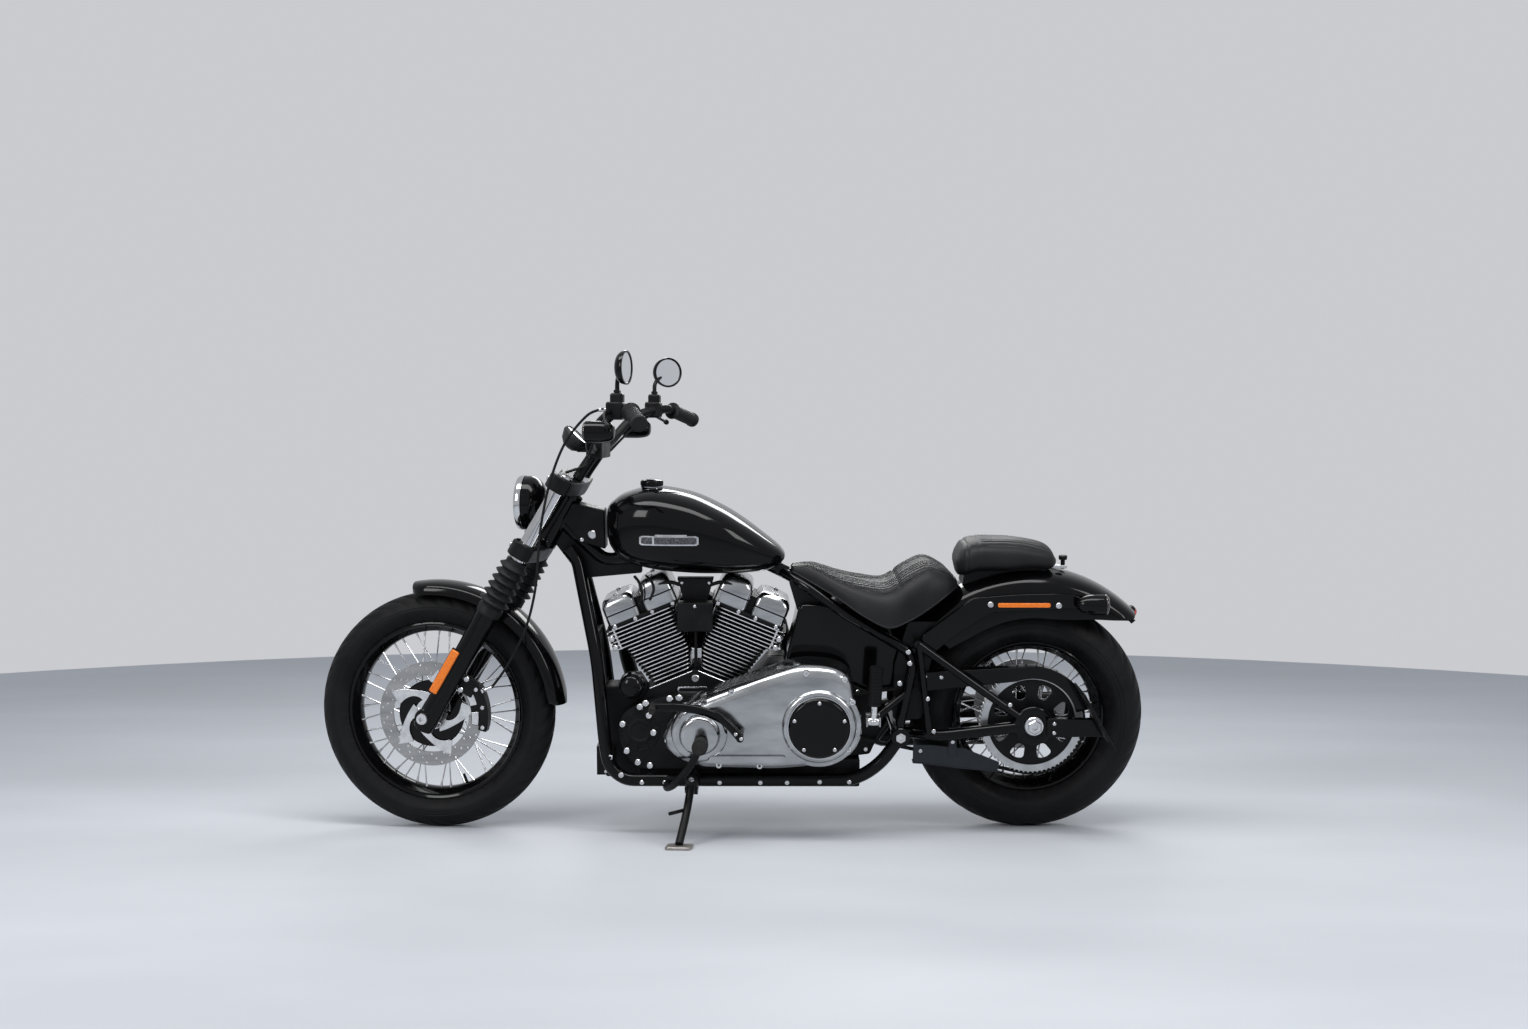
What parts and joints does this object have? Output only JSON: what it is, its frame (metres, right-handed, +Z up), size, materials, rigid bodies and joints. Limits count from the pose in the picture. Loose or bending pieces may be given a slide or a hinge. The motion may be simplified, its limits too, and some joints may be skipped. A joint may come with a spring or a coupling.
{
  "type": "bobber motorcycle",
  "caption": "Air-cooled V-twin bobber motorcycle leaning on its side stand, with turning fork, free wheels, folding stand and folding passenger pegs.",
  "frame": {"origin": "on the floor, under the middle of the whole machine's box as it leans on its side stand", "axes": "+X towards the rear wheel, -Y the machine's left side with the stand, +Z up"},
  "size_m": [2.2784, 0.9132, 1.3235],
  "materials": {
    "gloss_black": "gloss",
    "satin_black": "satin",
    "polished_metal": "polished",
    "cast_metal": "cast",
    "rubber_black": "matte",
    "tyre_black": "matte",
    "seat_black": "satin",
    "lamp_glass": "clear",
    "red_lens": "gloss",
    "blue_grey": "matte"
  },
  "bodies": {
    "chassis": {"air_cleaner": "satin_black", "belt_guard": "satin_black", "cam_cover": "polished_metal", "cradle_left": "gloss_black", "cradle_right": "gloss_black", "crankcase": "satin_black", "cylinder_front": "satin_black", "cylinder_rear": "satin_black", "derby_cover": "gloss_black", "drive_belt": "rubber_black", "exhaust_front": "satin_black", "exhaust_rear": "satin_black", "fender_strut_left": "gloss_black", "fender_strut_right": "gloss_black", "footpeg_left": "satin_black", "footpeg_right": "satin_black", "frame_backbone": "gloss_black", "fuel_cap": "satin_black", "fuel_tank": "gloss_black", "lower_guard": "blue_grey", "oil_cooler": "satin_black", "oil_filter": "satin_black", "oil_tank": "gloss_black", "pillion_pad": "seat_black", "plate_carrier": "satin_black", "primary_cover": "polished_metal", "rear_fender": "gloss_black", "rocker_box_front": "polished_metal", "rocker_box_rear": "polished_metal", "seat": "seat_black", "shift_lever": "satin_black", "swingarm": "gloss_black", "tail_lamp": "red_lens"},
    "steering": {"fork_yokes": "satin_black", "fork_leg_left": "gloss_black", "fork_leg_right": "gloss_black", "front_fender": "gloss_black", "headlamp_shell": "gloss_black", "headlamp_glass": "lamp_glass", "handlebar": "satin_black", "grip_left": "rubber_black", "grip_right": "rubber_black", "mirror_left": "satin_black", "mirror_right": "satin_black", "gauge_pod": "satin_black", "front_caliper": "satin_black", "brake_hose": "rubber_black"},
    "front_wheel": {"front_tyre": "tyre_black", "front_wheel": "gloss_black", "front_disc": "polished_metal"},
    "rear_wheel": {"rear_tyre": "tyre_black", "rear_wheel": "gloss_black", "drive_pulley": "cast_metal"},
    "side_stand": {"side_stand": "satin_black"},
    "passenger_peg_left": {"passenger_peg_left": "rubber_black"},
    "passenger_peg_right": {"passenger_peg_right": "rubber_black"}
  },
  "joints": [
    {"name": "steering", "type": "hinge", "parent": "chassis", "child": "steering", "pos_m": [-0.53178, 0.04769, 0.74904], "axis": [0.5008, -0.113, 0.8581], "range_deg": [-24, 38]},
    {"name": "front_wheel_spin", "type": "hinge", "parent": "steering", "child": "front_wheel", "pos_m": [-0.81158, 0.10677, 0.32814], "axis": [0.1056, 0.992, 0.069], "continuous": true},
    {"name": "rear_wheel_spin", "type": "hinge", "parent": "chassis", "child": "rear_wheel", "pos_m": [0.81822, 0.10423, 0.31824], "axis": [0.0001, 0.9914, 0.1305], "continuous": true},
    {"name": "side_stand_fold", "type": "hinge", "parent": "chassis", "child": "side_stand", "pos_m": [-0.10195, -0.06224, 0.15098], "axis": [0.0007, -0.7475, 0.6643], "range_deg": [0, 95]},
    {"name": "passenger_peg_left_fold", "type": "hinge", "parent": "chassis", "child": "passenger_peg_left", "pos_m": [0.38222, -0.09745, 0.31834], "axis": [1, 0, -0.001], "range_deg": [0, 90]},
    {"name": "passenger_peg_right_fold", "type": "hinge", "parent": "chassis", "child": "passenger_peg_right", "pos_m": [0.38227, 0.29913, 0.37055], "axis": [-1, 0, 0.001], "range_deg": [0, 90]}
  ]
}
